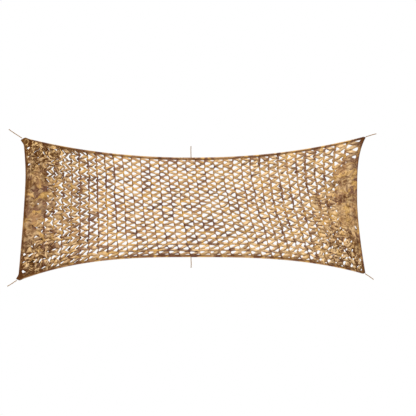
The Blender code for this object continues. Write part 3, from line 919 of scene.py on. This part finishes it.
# Painted highlights: a pale cream laid where a leaf curls over, on the ridges of the closed cloth
# and on the upper half of each ribbon, more so towards the right end.
HIGHLIGHT_STRENGTH = 0.90
CURLED_PARTS = (-0.8, 1.0)
CURLED_CLOSED = 0.5
CURLED_RIGHT = 1.3
CURL_MIDDLE, CURL_BREADTH = 0.35, 0.8
UPPER_HALF = (-0.7, 0.3)
HIGHLIGHT_UPPER_HALF, HIGHLIGHT_UPPER_HALF_RIGHT = 0.22, 0.68
RIDGE_WIDTH = 0.30
RIDGED_PARTS = (-0.6, 0.8)
HIGHLIGHT_RIDGES = 0.45
highlight_right_end = smooth_step(along_grid, *HIGHLIGHT_COLUMNS)
curl = smooth_step(cloth_noise("curls", x, y), *CURLED_PARTS)
curl *= np.clip(1.0 - (across_ribbon - CURL_MIDDLE) ** 2 / CURL_BREADTH, 0.0, 1.0)
curl *= blend(1.0, CURLED_CLOSED, closed) * blend(1.0, CURLED_RIGHT, highlight_right_end)
upper_half = smooth_step(across_ribbon, *UPPER_HALF) * (1.0 - closed)
upper_half *= blend(HIGHLIGHT_UPPER_HALF, HIGHLIGHT_UPPER_HALF_RIGHT, highlight_right_end)
ridge_mark = np.exp(-(cloth_noise("ridges", x, y) / RIDGE_WIDTH) ** 2) * closed
ridge_mark *= smooth_step(cloth_noise("ridged_parts", x, y), *RIDGED_PARTS)
painted_highlight_values = HIGHLIGHT_STRENGTH * (inset * between * (curl + upper_half)
                               + HIGHLIGHT_RIDGES * covered * ridge_mark)


# Loose leaves and small crumples to a metre of cloth, 5 cm and 3 cm each, and how deep the
# crumples are.
LOOSE_LEAVES = 21.0
SMALL_CRUMPLES = 34.0
SMALL_CRUMPLE_DEPTH = 0.010


def camouflage_material():
    """Polyester cloth, plain woven and printed in sand, ochre and browns: matt, with
    soft-edged print blotches, and small crumples from being cut and packed. Painted shade
    and painted highlights from the mesh's marks lie over the print."""
    # blotch: (hex colour, blotch size in metres, threshold, softness, offset)
    blotches = (
        ("#DEB786", 0.30, 0.48, 0.07, 3.0),
        ("#B4875E", 0.28, 0.52, 0.06, 11.0),
        ("#8F6852", 0.32, 0.53, 0.04, 27.0),
        ("#E3B369", 0.13, 0.56, 0.04, 41.0),
        ("#765244", 0.18, 0.57, 0.04, 55.0),
    )
    # stroke: (hex colour, noise where it begins, noise where it is full, its strength); the dark
    # one is painted shade and the light one a painted highlight
    strokes = (
        ("#56300D", 0.50, 0.41, 0.80),
        ("#F6CB8B", 0.55, 0.64, 0.75),
    )
    material, tree, shader = new_material("printed_polyester", roughness=0.90, specular=0.12)
    cloth = add_node(tree, "ShaderNodeUVMap", uv_map="flat_cloth").outputs["UV"]
    # The colours that lie over the sand ground, from the lowest: (its share, hex colour)
    layers = []
    for hex_colour, size, threshold, softness, offset in blotches:
        moved = add_node(tree, "ShaderNodeMapping",
                         {"Vector": cloth, "Location": (offset, offset * 0.7, 0.0)})
        noise = add_node(tree, "ShaderNodeTexNoise",
                         {"Vector": moved.outputs["Vector"], "Scale": 1.0 / size,
                          "Detail": 3.0, "Roughness": 0.55, "Distortion": 0.5})
        blotch = add_node(tree, "ShaderNodeMapRange",
                          {"Value": noise.outputs["Fac"], "From Min": threshold - softness,
                           "From Max": threshold + softness}, interpolation_type="SMOOTHSTEP")
        layers.append((blotch.outputs["Result"], hex_colour))
    # Painted shade: a dark brown over the cloth where the shade mark is high.
    shade = add_node(tree, "ShaderNodeAttribute", attribute_name="shade")
    layers.append((shade.outputs["Fac"], "#5A320B"))
    # Painted highlight: a pale cream over the cloth where its mark is high.
    painted_highlight = add_node(tree, "ShaderNodeAttribute", attribute_name="painted_highlight")
    layers.append((painted_highlight.outputs["Fac"], "#F6D19E"))
    # Leaves that lie over one another: painted shade in short gaps and painted highlights on the
    # edges between them.
    loose = add_node(tree, "ShaderNodeAttribute", attribute_name="leaf_gap_shade_and_highlight")
    leaves = add_node(tree, "ShaderNodeTexNoise",
                      {"Vector": cloth, "Scale": LOOSE_LEAVES, "Detail": 2.0,
                       "Roughness": 0.55, "Distortion": 1.8})
    for hex_colour, begins, full, strength in strokes:
        stroke = add_node(tree, "ShaderNodeMapRange",
                          {"Value": leaves.outputs["Fac"], "From Min": begins,
                           "From Max": full, "To Max": strength})
        share = add_node(tree, "ShaderNodeMath",
                         {0: stroke.outputs["Result"], 1: loose.outputs["Fac"]},
                         operation="MULTIPLY")
        layers.append((share.outputs[0], hex_colour))
    colour = linear("#C79A68")
    for share, hex_colour in layers:
        laid = add_node(tree, "ShaderNodeMix", {0: share, 6: colour, 7: linear(hex_colour)},
                        data_type="RGBA")
        colour = laid.outputs[2]
    tree.links.new(colour, shader.inputs["Base Color"])
    crumples = add_node(tree, "ShaderNodeTexNoise",
                        {"Vector": cloth, "Scale": SMALL_CRUMPLES, "Detail": 5.0})
    relief = add_node(tree, "ShaderNodeBump",
                      {"Height": crumples.outputs["Fac"], "Strength": 0.6,
                       "Distance": SMALL_CRUMPLE_DEPTH})
    tree.links.new(relief.outputs["Normal"], shader.inputs["Normal"])
    return material


# Each band is a strip of quads, and the openings are the gaps between bands.
MERGE_DISTANCE = 0.00002
quads = []
first = 0
for band in bands:
    row, place = np.meshgrid(np.arange(first, first + len(band) - 1),
                             np.arange(line_count - 1), indexing="ij")
    corner = row * line_count + place
    quads.append(np.stack((corner, corner + 1, corner + line_count + 1, corner + line_count),
                          axis=-1).reshape(-1, 4))
    first += len(band)
net_vertices = np.dstack((x, y, height_grid)).reshape(-1, 3)
net = mesh_piece("net_cloth", net_vertices, np.concatenate(quads).tolist(), camouflage_material())

# The print follows the cloth as it was before it was cut and pulled out.
in_rows = (flat_grid > 0.0) & (flat_grid < ROWS)
flat_across = np.where(in_rows, flat_grid / ROWS, across_grid)
uv_grid = np.dstack((along_grid * FLAT_LENGTH, flat_across * FLAT_WIDTH)).reshape(-1, 2)
corner_vertices = np.empty(len(net.data.loops), dtype=np.int64)
net.data.loops.foreach_get("vertex_index", corner_vertices)
uv_layer = net.data.uv_layers.new(name="flat_cloth")
uv_layer.data.foreach_set("uv", uv_grid[corner_vertices].ravel())
marks = {"shade": painted_shade_values, "leaf_gap_shade_and_highlight": leaf_gap_shade_and_highlight_values, "painted_highlight": painted_highlight_values}
for name, values in marks.items():
    attribute = net.data.attributes.new(name, "FLOAT", "POINT")
    attribute.data.foreach_set("value", values.ravel())

joined = bmesh.new()
joined.from_mesh(net.data)
bmesh.ops.remove_doubles(joined, verts=joined.verts, dist=MERGE_DISTANCE)
joined.to_mesh(net.data)
joined.free()

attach(net, "root")
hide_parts("net_panel")


# ---------------------------------------------------------------- Floor and light
# A backlit white studio table, so that it takes no shadow, with soft light from all round and
# one broad lamp high on the left.
FLOOR_HALF = 30
TABLE_GLOW = 1.0
SKY_LIGHT = 0.62
LAMP_STRENGTH = 2.0
LAMP_BREADTH = 12.0
LAMP_TURN = (-35.0, -30.0, 0.0)
BLACK = (0.0, 0.0, 0.0, 1.0)
WHITE = (1.0, 1.0, 1.0, 1.0)

floor_corners = [(side_x * FLOOR_HALF, side_y * FLOOR_HALF, 0)
                 for side_x, side_y in ((-1, -1), (1, -1), (1, 1), (-1, 1))]
floor_mesh = bpy.data.meshes.new("floor")
floor_mesh.from_pydata(floor_corners, [], [(0, 1, 2, 3)])
floor = bpy.data.objects.new("floor", floor_mesh)
bpy.context.collection.objects.link(floor)
floor_material, _, floor_shader = new_material("backlit_table", roughness=1.0, specular=0.0)
floor_shader.inputs["Base Color"].default_value = BLACK
floor_shader.inputs["Emission Color"].default_value = WHITE
floor_shader.inputs["Emission Strength"].default_value = TABLE_GLOW
floor_mesh.materials.append(floor_material)

world = bpy.data.worlds.new("studio")
world.use_nodes = True
background = world.node_tree.nodes["Background"]
background.inputs["Color"].default_value = WHITE
background.inputs["Strength"].default_value = SKY_LIGHT
bpy.context.scene.world = world
lamp_data = bpy.data.lights.new("key", "SUN")
lamp_data.energy = LAMP_STRENGTH
lamp_data.angle = math.radians(LAMP_BREADTH)
lamp = bpy.data.objects.new("key", lamp_data)
lamp.rotation_euler = [math.radians(angle) for angle in LAMP_TURN]
bpy.context.collection.objects.link(lamp)
bpy.context.scene.view_settings.view_transform = "Standard"
